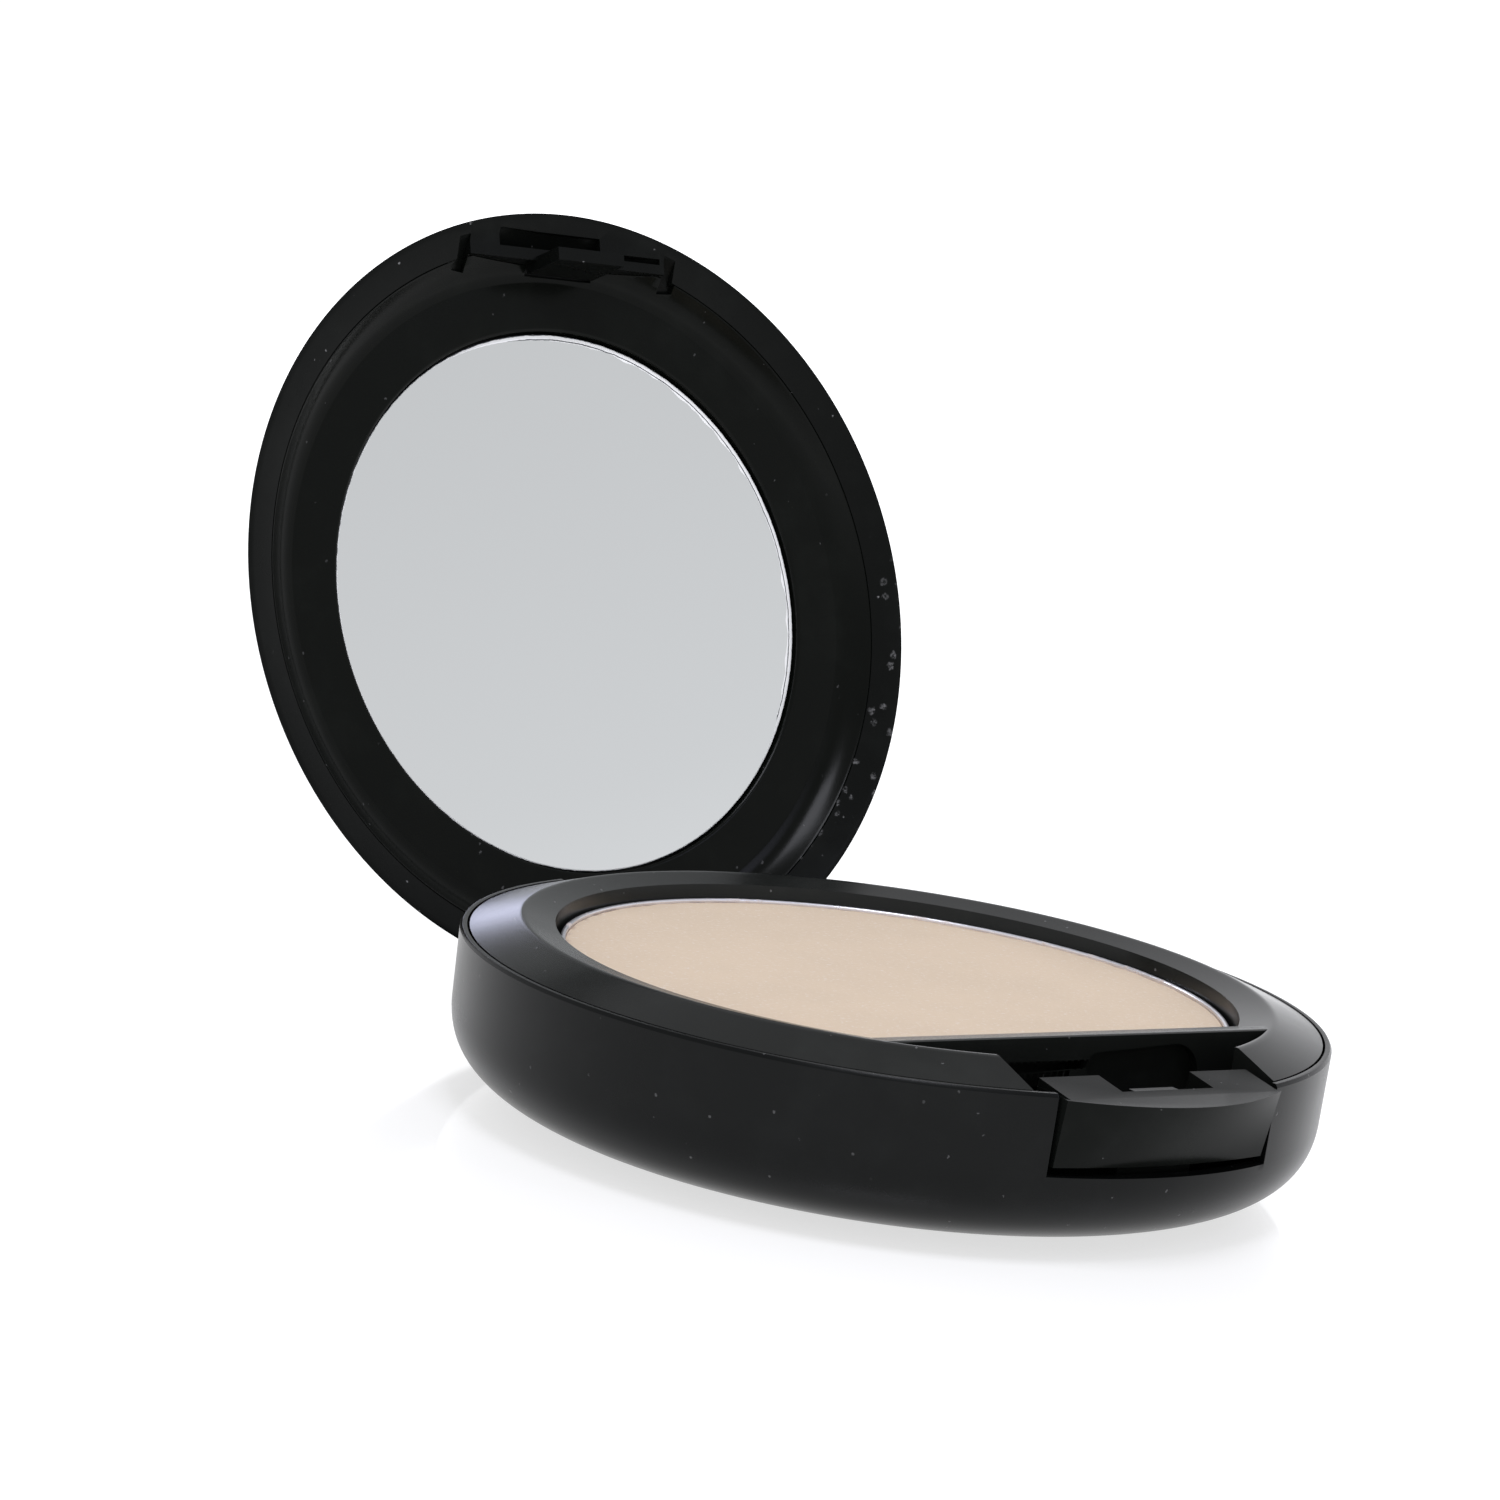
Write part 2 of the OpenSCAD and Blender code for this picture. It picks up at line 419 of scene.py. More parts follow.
@dataclass(frozen=True)
class SteelWire:
    """Drawn steel with fine scratches."""

    name: str = "steel_drawn"
    tone: tuple[float, float, float] = (0.56, 0.56, 0.58)

    def make(self) -> bpy.types.Material:
        """Builds the material."""
        g = Graph(self.name)
        streak = g.node("ShaderNodeMapping", None, {"Vector": g.place(), "Scale": (0.06, 1.0, 1.0)})
        marks = g.noise(5200, 3, 0.6, streak)
        colour = g.mix(marks, rgb(*self.tone), rgb(0.42, 0.42, 0.44))
        return g.surface(
            Base_Color=colour,
            Metallic=1.0,
            Roughness=0.2 + marks * 0.2,
            Normal=g.bump(marks, 0.000008, 0.5),
        )


@dataclass(frozen=True)
class PuffFoam:
    """Fine open-cell cosmetic foam."""

    name: str = "puff_foam"
    tone: tuple[float, float, float] = (0.86, 0.76, 0.66)

    def make(self) -> bpy.types.Material:
        """Builds the material."""
        g = Graph(self.name)
        feeds = {"Vector": g.place(), "Scale": 2100.0}
        cells = g.node("ShaderNodeTexVoronoi", {"feature": "F1"}, feeds, "Distance")
        stain = g.noise(120, 3, 0.6)
        pores = 1 - cells.above(0.15, 0.3)
        colour = g.mix(pores * 0.55, rgb(*self.tone), rgb(0.52, 0.42, 0.35))
        colour = g.mix(stain.above(0.55, 0.2) * 0.3, colour, rgb(0.74, 0.6, 0.48))
        return g.surface(
            Base_Color=colour,
            Roughness=0.95,
            Specular_IOR_Level=0.15,
            Sheen_Weight=0.25,
            Normal=g.bump(cells, 0.00018, 0.7),
        )


@dataclass(frozen=True)
class LabelPaper:
    """Silver-grey paper with a printed border ring and plain rules, no lettering."""

    name: str = "label_paper"
    border: float = 18.6 * MM
    border_width: float = 0.5 * MM
    blur: float = 0.04 * MM

    def make(self) -> bpy.types.Material:
        """Builds the material."""
        g = Graph(self.name)
        reach = g.reach()
        outside = reach.above(self.border + self.border_width, self.blur)
        ring = reach.above(self.border, self.blur) * (1 - outside)
        rules = g.axes()[1].folded(1.1 * MM)
        lines = rules.above(0.92 * MM, 0.05 * MM) * (1 - reach.above(12 * MM, 0.1 * MM))
        fibre = g.noise(1500, 4, 0.6)
        paper = g.mix(fibre, rgb(0.55, 0.55, 0.57), rgb(0.66, 0.66, 0.68))
        colour = g.mix(ring + lines, paper, rgb(0.05, 0.05, 0.06))
        return g.surface(
            Base_Color=colour,
            Roughness=0.5 + fibre * 0.25,
            Normal=g.bump(fibre, 0.00001, 0.5),
        )


@dataclass(frozen=True)
class GlueTape:
    """Thin double-sided tape."""

    name: str = "glue_tape"

    def make(self) -> bpy.types.Material:
        """Builds the material."""
        g = Graph(self.name)
        mottle = g.noise(700, 4, 0.6)
        colour = g.mix(mottle, rgb(0.74, 0.72, 0.63), rgb(0.6, 0.58, 0.5))
        return g.surface(
            Base_Color=colour, Roughness=0.4 + mottle * 0.3, Normal=g.bump(mottle, 0.00001, 0.5)
        )


@dataclass(frozen=True)
class Backdrop:
    """Pale, slightly polished studio table."""

    name: str = "studio_table"
    glow: float = 0.66

    def make(self) -> bpy.types.Material:
        """Builds the material."""
        g = Graph(self.name)
        drift = g.noise(3, 3, 0.5)
        colour = g.mix(drift, rgb(0.52, 0.52, 0.52), rgb(0.54, 0.54, 0.54))
        return g.surface(
            Base_Color=colour,
            Roughness=0.08,
            Specular_IOR_Level=0.5,
            Emission_Color=rgb(1, 1, 1),
            Emission_Strength=self.glow,
        )


# ---------------------------------------------------------------- mesh helpers


def new_object(name: str, mesh: bpy.types.Mesh) -> bpy.types.Object:
    """Links a new object for a mesh, at the origin."""
    piece = bpy.data.objects.new(name, mesh)
    bpy.context.scene.collection.objects.link(piece)
    return piece


def to_object(name: str, shape: bmesh.types.BMesh) -> bpy.types.Object:
    """Links a new object for a finished bmesh, which is used up."""
    mesh = bpy.data.meshes.new(name)
    shape.to_mesh(mesh)
    shape.free()
    return new_object(name, mesh)


def skin(shape: bmesh.types.BMesh, rings: Sequence[Ring], closed: bool = False) -> list[list]:
    """Joins rings of points with quads.

    Args:
        shape: where the faces go.
        rings: rings with the same number of points.
        closed: whether the last ring joins the first.

    Returns:
        The rings' vertices.
    """
    rows = [[shape.verts.new(p) for p in ring] for ring in rings]
    count = len(rows[0])
    for low, high in list(zip(rows, rows[1:])) + ([(rows[-1], rows[0])] if closed else []):
        for i in range(count):
            j = (i + 1) % count
            shape.faces.new((low[i], low[j], high[j], high[i]))
    return rows


def loft(
    name: str,
    rings: Sequence[Ring],
    start: Optional[Vector] = None,
    end: Optional[Vector] = None,
    closed: bool = False,
    smooth_over: float = 35.0,
) -> bpy.types.Object:
    """Skins rings of points with quads.

    Args:
        name: the piece's name.
        rings: rings with the same number of points.
        start: a point that closes the first ring with a fan.
        end: a point that closes the last ring with a fan.
        closed: whether the last ring joins the first.
        smooth_over: edges sharper than this many degrees stay sharp.

    Returns:
        The piece, with its faces outwards.
    """
    shape = bmesh.new()
    rows = skin(shape, rings, closed)
    count = len(rows[0])
    for tip, row in ((start, rows[0]), (end, rows[-1])):
        if tip is not None:
            hub = shape.verts.new(tip)
            for i in range(count):
                shape.faces.new((hub, row[i], row[(i + 1) % count]))
    bmesh.ops.recalc_face_normals(shape, faces=shape.faces)
    for edge in shape.edges:
        if len(edge.link_faces) == 2 and edge.calc_face_angle() > math.radians(smooth_over):
            edge.smooth = False
    for face in shape.faces:
        face.smooth = True
    return to_object(name, shape)


def on_circle(radius: float, count: int) -> Profile:
    """Points of a circle about the origin, anticlockwise."""
    turn = 2 * math.pi / count
    return [(radius * math.cos(i * turn), radius * math.sin(i * turn)) for i in range(count)]


def circle_ring(radius: float, height: float, count: int = 192) -> Ring:
    """A level circle of points about the Z axis, in metres."""
    return [Vector((x, y, height)) for x, y in on_circle(radius, count)]


@dataclass(frozen=True)
class DeeOutline:
    """A disc cut off straight at the front, with rounded corners, in metres."""

    radius: float
    chord: float
    corner: float
    arc_steps: int = 150
    corner_steps: int = 10
    chord_steps: int = 40

    def ring(self, inset: float, height: float) -> Ring:
        """The outline drawn in by a distance.

        Args:
            inset: how far inside the outline, in metres.
            height: its Z.

        Returns:
            The points, anticlockwise seen from above.
        """
        r, c, k = self.radius - inset, self.chord - inset, max(self.corner - inset, 0.05 * MM)
        cy = k - c
        cx = math.sqrt((r - k) ** 2 - cy**2)
        lean = math.atan2(cy, cx)
        points: Ring = []
        for i in range(self.arc_steps):
            a = lean + (math.pi - 2 * lean) * i / self.arc_steps
            points.append(Vector((r * math.cos(a), r * math.sin(a), height)))
        for side in (-1, 1):
            first = math.pi - lean if side < 0 else -math.pi / 2
            last = 1.5 * math.pi if side < 0 else lean
            for i in range(self.corner_steps):
                a = first + (last - first) * i / self.corner_steps
                points.append(Vector((side * cx + k * math.cos(a), cy + k * math.sin(a), height)))
            if side < 0:
                steps = self.chord_steps
                points += [Vector((-cx + 2 * cx * i / steps, -c, height)) for i in range(steps)]
        return points


def swell(r0: float, r1: float, z0: float, z1: float, power: float, steps: int = 30) -> Profile:
    """A quarter superellipse in millimetres, flat at its first end.

    Args:
        r0: radius at the flat end.
        r1: radius at the upright end.
        z0: height of the flat end.
        z1: height of the upright end.
        power: 2 for an ellipse, more for a squarer corner.
        steps: its number of steps.

    Returns:
        Pairs of radius and height.
    """
    points: Profile = []
    for i in range(steps + 1):
        a = math.pi / 2 * i / steps
        lift = abs(math.cos(a)) ** (2 / power) if i < steps else 0.0
        points.append((r0 + (r1 - r0) * math.sin(a) ** (2 / power), z1 - (z1 - z0) * lift))
    return points


class Carving:
    """A closed solid in millimetres that other solids are joined to, cut from or kept inside."""

    def __init__(self, piece: bpy.types.Object) -> None:
        """Takes over a closed mesh object."""
        self.piece = piece

    @classmethod
    def turned(cls, profile: Profile, closed: bool = False, steps: int = 240) -> "Carving":
        """A profile turned about the Z axis.

        Args:
            profile: pairs of radius and height; unless closed, the first and last lie on the axis.
            closed: whether the profile is a loop off the axis.
            steps: steps round the axis.

        Returns:
            The solid.
        """
        if closed:
            return cls(loft("turned", [circle_ring(r, z, steps) for r, z in profile], closed=True))
        rings = [circle_ring(r, z, steps) for r, z in profile[1:-1]]
        ends = [Vector((0, 0, profile[i][1])) for i in (0, -1)]
        return cls(loft("turned", rings, ends[0], ends[1]))

    @classmethod
    def drum(cls, foot: float, head: float, low: float, high: float) -> "Carving":
        """A round bar or cone about the Z axis, from its two radii and its two heights."""
        return cls.turned([(0, low), (foot, low), (head, high), (0, high)])

    @classmethod
    def block(cls, low: Sequence[float], size: Sequence[float]) -> "Carving":
        """A box from its low corner and its size."""
        (x, y, z), (w, d, h) = low, size
        return cls.prism([(y, z), (y + d, z), (y + d, z + h), (y, z + h)], w / 2, x + w / 2)

    @classmethod
    def prism(cls, outline: Profile, half: float, middle: float = 0.0) -> "Carving":
        """An outline in Y and Z drawn out along X, half to each side of the middle."""
        return cls.stacked([[Vector((middle + side * half, y, z)) for y, z in outline] for side in (-1, 1)])

    @classmethod
    def stacked(cls, rings: Sequence[Ring]) -> "Carving":
        """Rings skinned from the first to the last, each end closed by one flat face."""
        shape = bmesh.new()
        rows = skin(shape, rings)
        shape.faces.new(rows[0])
        shape.faces.new(rows[-1])
        bmesh.ops.recalc_face_normals(shape, faces=shape.faces)
        return cls(to_object("stacked", shape))

    @classmethod
    def rod(cls, y: float, z: float, radius: float, half: float, steps: int = 48) -> "Carving":
        """A round bar along X."""
        return cls.prism([(y + a, z + b) for a, b in on_circle(radius, steps)], half)

    @classmethod
    def wrapped(cls, points: Sequence[Vector]) -> "Carving":
        """The tightest convex solid round some points."""
        shape = bmesh.new()
        for point in points:
            shape.verts.new(point)
        made = bmesh.ops.convex_hull(shape, input=shape.verts)
        spare = {v for v in made["geom_interior"] + made["geom_unused"] if isinstance(v, bmesh.types.BMVert)}
        bmesh.ops.delete(shape, geom=list(spare), context="VERTS")
        bmesh.ops.recalc_face_normals(shape, faces=shape.faces)
        return cls(to_object("wrapped", shape))

    def _bake(self) -> None:
        """Puts the modifiers' result in the mesh and removes them."""
        bpy.context.view_layer.update()
        ready = self.piece.evaluated_get(bpy.context.evaluated_depsgraph_get())
        mesh = bpy.data.meshes.new_from_object(ready)
        self.piece.modifiers.clear()
        self.piece.data = mesh

    def _with(self, operation: str, other: "Carving") -> "Carving":
        """Joins, cuts or trims this solid by another, which is used up."""
        modifier = self.piece.modifiers.new("carve", "BOOLEAN")
        modifier.operation, modifier.solver, modifier.object = operation, "EXACT", other.piece
        self._bake()
        bpy.data.objects.remove(other.piece)
        return self

    def __add__(self, other: "Carving") -> "Carving":
        """Joins another solid on."""
        return self._with("UNION", other)

    def __sub__(self, other: "Carving") -> "Carving":
        """Cuts another solid away."""
        return self._with("DIFFERENCE", other)

    def __and__(self, other: "Carving") -> "Carving":
        """Keeps what lies inside another solid."""
        return self._with("INTERSECT", other)

    def finish(self, name: str, soften: float, smooth_over: float = 32.0) -> bpy.types.Object:
        """Softens the edges, shades the curves smooth and turns millimetres to metres.

        Args:
            name: the piece's name.
            soften: width of the softened edges in millimetres.
            smooth_over: edges sharper than this many degrees are softened.

        Returns:
            The piece.
        """
        if soften:
            bevel = self.piece.modifiers.new("soften", "BEVEL")
            bevel.width, bevel.segments = soften, 2
            bevel.limit_method, bevel.angle_limit = "ANGLE", math.radians(smooth_over)
            self._bake()
        shape = bmesh.new()
        shape.from_mesh(self.piece.data)
        bmesh.ops.remove_doubles(shape, verts=shape.verts, dist=0.0005)
        limit = math.radians(smooth_over)
        for edge in shape.edges:
            edge.smooth = len(edge.link_faces) == 2 and edge.calc_face_angle(0.0) < limit
        for face in shape.faces:
            face.smooth = True
        bmesh.ops.scale(shape, vec=(MM, MM, MM), verts=shape.verts)
        shape.to_mesh(self.piece.data)
        shape.free()
        weighted = self.piece.modifiers.new("flats", "WEIGHTED_NORMAL")
        weighted.keep_sharp, weighted.weight = True, 50
        self._bake()
        self.piece.name = self.piece.data.name = name
        return self.piece


def dress(piece: bpy.types.Object, *materials: bpy.types.Material) -> None:
    """Gives a piece its materials, in slot order."""
    piece.data.materials.clear()
    for material in materials:
        piece.data.materials.append(material)


def settle(
    piece: bpy.types.Object, body: Body, node: str, finish: Optional[bpy.types.Material] = None
) -> None:
    """Dresses a finished piece and joins it to the frame.

    Args:
        piece: the piece.
        body: the body it rides on.
        node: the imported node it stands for.
        finish: its material, unless it wears one already.
    """
    if finish:
        dress(piece, finish)
    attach(piece, body.value)
    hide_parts(node)
    log.info("piece %s on %s: %d faces", piece.name, body.value, len(piece.data.polygons))


# ---------------------------------------------------------------- geometry nodes


class NodeShape:
    """A Geometry Nodes tree with named inputs, whose result becomes a plain mesh."""

    def __init__(self, name: str, sizes: dict[str, float], finish: bpy.types.Material) -> None:
        """Starts the tree.

        Args:
            name: the piece's name.
            sizes: the tree's named inputs and their values.
            finish: the material set at the end.
        """
        self.name, self.sizes, self.finish = name, sizes, finish
        self.tree = bpy.data.node_groups.new(name + "_shape", "GeometryNodeTree")
        for label in sizes:
            self.tree.interface.new_socket(label, in_out="INPUT", socket_type="NodeSocketFloat")
        self.tree.interface.new_socket("Geometry", in_out="OUTPUT", socket_type="NodeSocketGeometry")
        self.inputs = self.tree.nodes.new("NodeGroupInput")

    def add(
        self, kind: str, settings: Optional[dict] = None, feeds: Optional[dict] = None
    ) -> bpy.types.Node:
        """Adds a node.

        Args:
            kind: Blender's node type.
            settings: properties set first.
            feeds: inputs by name or number; a string names one of the tree's inputs.

        Returns:
            The node.
        """
        made = self.tree.nodes.new(kind)
        for key, value in (settings or {}).items():
            setattr(made, key, value)
        for key, value in (feeds or {}).items():
            socket = made.inputs[key]
            if isinstance(value, str):
                self.tree.links.new(self.inputs.outputs[value], socket)
            elif isinstance(value, bpy.types.NodeSocket):
                self.tree.links.new(value, socket)
            else:
                socket.default_value = value
        return made

    def bake(self, geometry: bpy.types.NodeSocket) -> bpy.types.Object:
        """Ends the tree and turns its result into a plain mesh object.

        Args:
            geometry: the last geometry socket.

        Returns:
            The piece, with no modifier left.
        """
        real = self.add("GeometryNodeRealizeInstances", None, {0: geometry})
        dressed = self.add("GeometryNodeSetMaterial", None, {0: real.outputs[0]})
        dressed.inputs["Material"].default_value = self.finish
        end = self.tree.nodes.new("NodeGroupOutput")
        self.tree.links.new(dressed.outputs[0], end.inputs[0])
        carrier = new_object(self.name + "_carrier", bpy.data.meshes.new(self.name + "_carrier"))
        modifier = carrier.modifiers.new("shape", "NODES")
        modifier.node_group = self.tree
        for item in self.tree.interface.items_tree:
            if item.in_out == "INPUT":
                modifier[item.identifier] = float(self.sizes[item.name])
        bpy.context.view_layer.update()
        ready = carrier.evaluated_get(bpy.context.evaluated_depsgraph_get())
        mesh = bpy.data.meshes.new_from_object(ready)
        mesh.name = self.name
        carrier.modifiers.remove(modifier)
        bpy.data.objects.remove(carrier)
        shape = bmesh.new()
        shape.from_mesh(mesh)
        bmesh.ops.remove_doubles(shape, verts=shape.verts, dist=1e-7)
        bmesh.ops.recalc_face_normals(shape, faces=shape.faces)
        for face in shape.faces:
            face.smooth = True
        shape.to_mesh(mesh)
        shape.free()
        return new_object(self.name, mesh)


# ---------------------------------------------------------------- sub-assemblies


@dataclass
class HingeFrame:
    """Turns pieces drawn with the lid shut to the stored open pose."""

    joint: str = "lid_hinge"

    def matrix(self) -> Matrix:
        """The turn from shut to stored."""
        joint = next(j for j in frame["joints"] if j["name"] == self.joint)
        pin = Matrix.Translation(Vector(joint["pos_m"]))
        angle = math.radians(-joint["range_deg"][0])
        return pin @ Matrix.Rotation(angle, 4, Vector(joint["axis"])) @ pin.inverted()

    def open(self, piece: bpy.types.Object) -> bpy.types.Object:
        """Turns a piece's mesh to the open pose."""
        piece.data.transform(self.matrix())
        return piece


@dataclass
class PowderInsert:
    """The pan and its pressed powder."""

    pan_top: float = 14.39 * MM
    pan_depth: float = 3.5 * MM
    sheet: float = 0.4 * MM
    outline: DeeOutline = DeeOutline(30.0 * MM, 22.5 * MM, 2.0 * MM)
    powder_drop: float = 0.3 * MM
    seed: int = 11

    def pan(self) -> bpy.types.Object:
        """Stamped pan with a rolled rim and a soft bottom corner."""
        top, low, t = self.pan_top, self.pan_top - self.pan_depth, self.sheet
        profile = [(0.45 * MM, low), (0.12 * MM, low + 0.12 * MM), (0.0, low + 0.45 * MM)]
        profile += [(0.0, top - 0.35 * MM), (-0.04 * MM, top - 0.2 * MM)]
        bead = 0.16 * MM
        for i in range(7):
            a = math.pi * i / 6
            profile.append((t / 2 - (t / 2 + 0.03 * MM) * math.cos(a), top - bead + bead * math.sin(a)))
        profile += [(t, top - 0.4 * MM), (t, low + 0.75 * MM), (t + 0.12 * MM, low + t + 0.1 * MM)]
        profile.append((t + 0.4 * MM, low + t))
        rings = [self.outline.ring(inset, z) for inset, z in profile]
        tips = [Vector((0, 2 * MM, z)) for z in (low, low + t)]
        return loft("powder_pan_rim", rings, tips[0], tips[1])

    def powder(self) -> bpy.types.Object:
        """Cake with a crumbled edge and a slightly crowned, faintly uneven face."""
        base = self.pan_top - self.pan_depth + self.sheet
        top = self.pan_top - self.powder_drop
        wall, foot = self.sheet + 0.02 * MM, base + 0.02 * MM
        rng = random.Random(self.seed)
        rings = [self.outline.ring(wall + 0.3 * MM, foot), self.outline.ring(wall, base + 0.6 * MM)]
        edge = ((0.0, 0.3, 0.0), (0.03, 0.12, 0.02), (0.14, 0.04, 0.03), (0.4, 0.01, 0.015))
        for inset, drop, rough in edge:
            ring = self.outline.ring(wall + inset * MM, top - drop * MM)
            for point in ring:
                point.z += rng.uniform(-rough, rough) * MM
            rings.append(ring)
        for inset in (1.2, 2.4, 4, 6, 8.5, 11, 14, 17, 19.5):
            crown = 0.05 * MM * (1 - math.exp(-inset / 5))
            rings.append(self.outline.ring(wall + inset * MM, top + crown))
        centre = sum(rings[-1], Vector()) / len(rings[-1])
        return loft("pressed_powder_cake", rings, Vector((0, 0, foot)), centre, smooth_over=80)

    def build(self) -> None:
        """Makes both pieces and joins them to the frame."""
        pan = self.pan()
        settle(pan, Body.BASE, "powder_pan", PanMetal().make())
        cake = self.powder()
        settle(cake, Body.BASE, "pressed_powder", PowderCake().make())


@dataclass
class MirrorGlass:
    """Round mirror with a ground, slightly chipped edge."""

    radius: float = 27.35 * MM
    face: float = 18.42 * MM
    thickness: float = 0.9 * MM
    narrow: float = 0.1 * MM
    # painted highlight: the pale ground edge is drawn wide on the right only
    wide: float = 0.6 * MM
    drop: float = 0.05 * MM
    opens: tuple[float, float] = (-125, 30)
    closes: tuple[float, float] = (38, 25)
    chip_count: int = 46
    steps: int = 360
    seed: int = 5

    def edge(self, step: int) -> float:
        """Width of the ground edge, wide on the right, where its pale colour is a painted highlight, and
        narrow elsewhere.

        Args:
            step: step round the mirror, from +X.

        Returns:
            The width in metres.
        """
        angle = (360 * step / self.steps + 180) % 360 - 180
        (first, rise), (last, fall) = self.opens, self.closes
        share = min(max((angle - first) / rise, 0), 1) * min(max((last - angle) / fall, 0), 1)
        return self.narrow + (self.wide - self.narrow) * share

    def build(self, hinge: HingeFrame) -> None:
        """Makes the mirror and joins it to the lid."""
        rng = random.Random(self.seed)
        widths = [self.edge(i) for i in range(self.steps)]
        chips = [0.0] * self.steps
        for _ in range(self.chip_count):
            centre, span, depth = rng.randrange(self.steps), rng.randint(1, 4), rng.uniform(0.1, 0.5)
            for step in range(-span, span + 1):
                i = (centre + step) % self.steps
                chips[i] = max(chips[i], depth * (1 - abs(step) / (span + 1)))
        inner = circle_ring(1.0, self.face, self.steps)
        for point, width, chip in zip(inner, widths, chips):
            reach = self.radius - width * (1 + chip)
            point.x, point.y = point.x * reach, point.y * reach
        r, face, low, soft = self.radius, self.face, self.face + self.thickness, 0.1 * MM
        rings = [circle_ring(r * share, face, self.steps) for share in (0.5, 0.93)] + [inner]
        outside = ((r, face + self.drop), (r, low - soft), (r - soft, low))
        rings += [circle_ring(radius, z, self.steps) for radius, z in outside]
        glass = loft("mirror_glass", rings, Vector((0, 0, face)), Vector((0, 0, low)), smooth_over=2.5)
        dress(glass, SilveredGlass().make(), GroundEdge().make())
        points = glass.data.vertices
        for polygon in glass.data.polygons:
            if min(points[v].co.xy.length for v in polygon.vertices) > r * 0.95:
                polygon.material_index = 1
        settle(hinge.open(glass), Body.LID, "mirror")


@dataclass
class LatchSpring:
    """Wound coil spring behind the button, along Y."""

    mean_radius: float = 1.12 * MM
    wire_radius: float = 0.17 * MM
    turns: float = 5.5
    front: float = -33.95 * MM
    back: float = -31.05 * MM
    height: float = 7.2 * MM

    def build(self) -> None:
        """Makes the spring with a spiral curve and joins it to the base."""
        sizes = {
            "Mean radius": self.mean_radius,
            "Wire radius": self.wire_radius,
            "Turns": self.turns,
            "Length": self.back - self.front - 2 * self.wire_radius,
        }
        shape = NodeShape("latch_spring_coil", sizes, SteelWire().make())
        coil_feeds = {"Start Radius": "Mean radius", "End Radius": "Mean radius", "Height": "Length"}
        path = shape.add(
            "GeometryNodeCurveSpiral", None, {"Resolution": 28, "Rotations": "Turns", **coil_feeds}
        )
        wire_feeds = {"Resolution": 10, "Radius": "Wire radius"}
        wire = shape.add("GeometryNodeCurvePrimitiveCircle", {"mode": "RADIUS"}, wire_feeds)
        tube = shape.add("GeometryNodeCurveToMesh", None, {0: path.outputs[0], 1: wire.outputs[0]})
        tube.inputs["Fill Caps"].default_value = True
        coil = shape.bake(tube.outputs[0])
        place = Matrix.Translation((0, self.front + self.wire_radius, self.height))
        coil.data.transform(place @ Matrix.Rotation(-math.pi / 2, 4, "X"))
        settle(coil, Body.BASE, "latch_spring")


@dataclass
class FoamPuff:
    """Round puff that lies in the well under the tray."""

    centre: tuple[float, float] = (0.0, 2.0 * MM)
    radius: float = 25.9 * MM
    low: float = 3.12 * MM
    high: float = 9.05 * MM
    levels: int = 24
    seed: int = 3

    def build(self) -> None:
        """Makes the puff, softly crowned with a pinched seam, and joins it to the base."""
        rng = random.Random(self.seed)
        half = (self.high - self.low) / 2
        rings = []
        for i in range(1, self.levels):
            a = math.pi * i / self.levels
            bulge = math.copysign(abs(math.cos(a)) ** 0.45, math.cos(a))
            r = self.radius * (0.88 + 0.12 * math.sin(a) ** 0.5) * (math.sin(a) ** 0.12)
            pinch = 0.35 * MM * math.exp(-((math.cos(a) / 0.12) ** 2))
            ring = circle_ring(r - pinch, self.low + half - half * bulge, 160)
            for point in ring:
                point.z = min(max(point.z + rng.uniform(-0.02, 0.02) * MM, self.low), self.high)
            rings.append([p + Vector((*self.centre, 0)) for p in ring])
        tips = [Vector((*self.centre, z)) for z in (self.low, self.high)]
        puff = loft("foam_puff", rings, tips[0], tips[1], smooth_over=100)
        settle(puff, Body.BASE, "sponge", PuffFoam().make())


@dataclass(frozen=True)
class CaseSizes:
    """The case's main sizes in millimetres."""

    radius: float = 39.0
    rim: float = 14.6
    lid_rim: float = 14.72
    lid_rise: float = 7.5
    pin_y: float = 36.3
    pin_z: float = 7.7
    front: float = -33.7
    button_half: float = 11.7
    spring_z: float = 7.2
    ridge: float = 33.6
    pan: float = 30.0
    chord: float = 26.0
    mirror: float = 27.35
    mirror_back: float = 3.7


def dome(size: CaseSizes, inset: float, steps: int = 40) -> Profile:
    """The lid's domed profile from the centre out to its rim, drawn in by a distance."""
    r1, h = size.radius - 0.06 - inset, size.lid_rise - inset
    parts = [1 - (1 - i / steps) ** 2.2 for i in range(steps + 1)]
    return [(r1 * q, size.lid_rim + h * (1 - min(q, 1.0) ** 5) ** 0.8) for q in parts]


@dataclass
class BaseCase:
    """The base's outer shell, its foot recess, the button's opening and the hinge's opening."""

    size: CaseSizes = CaseSizes()
    soften: float = 0.03
    foot: float = 20.15
    slot_half: float = 11.95
    slot_depth: float = 6.9
    hinge_half: float = 12.0
    hinge_low: float = 3.3

    def build(self, finish: bpy.types.Material) -> None:
        """Makes the shell and joins it to the base."""
        c = self.size
        r, z, belly = c.radius, c.rim, c.rim - 6
        profile = [(0, 0.2), (self.foot, 0.2), (self.foot, 0.0)] + swell(25, r - 0.1, 0, belly, 2.5)
        profile += [(r, z - 0.3), (r - 0.2, z), (r - 0.62, z), (r - 0.62, z - 1.5), (r - 1.3, z - 2)]
        profile += swell(24.8, r - 1.3, 1.2, belly, 2.5)[::-1] + [(0, 1.2)]
        shell = Carving.turned(profile)
        shell -= Carving.block((-self.slot_half, -r - 5, z - self.slot_depth), (2 * self.slot_half, 12, 10))
        shell -= Carving.block((-self.hinge_half, 31, self.hinge_low), (2 * self.hinge_half, 15, 20))
        piece = shell.finish("base_case", self.soften)
        settle(piece, Body.BASE, "base_shell", finish)


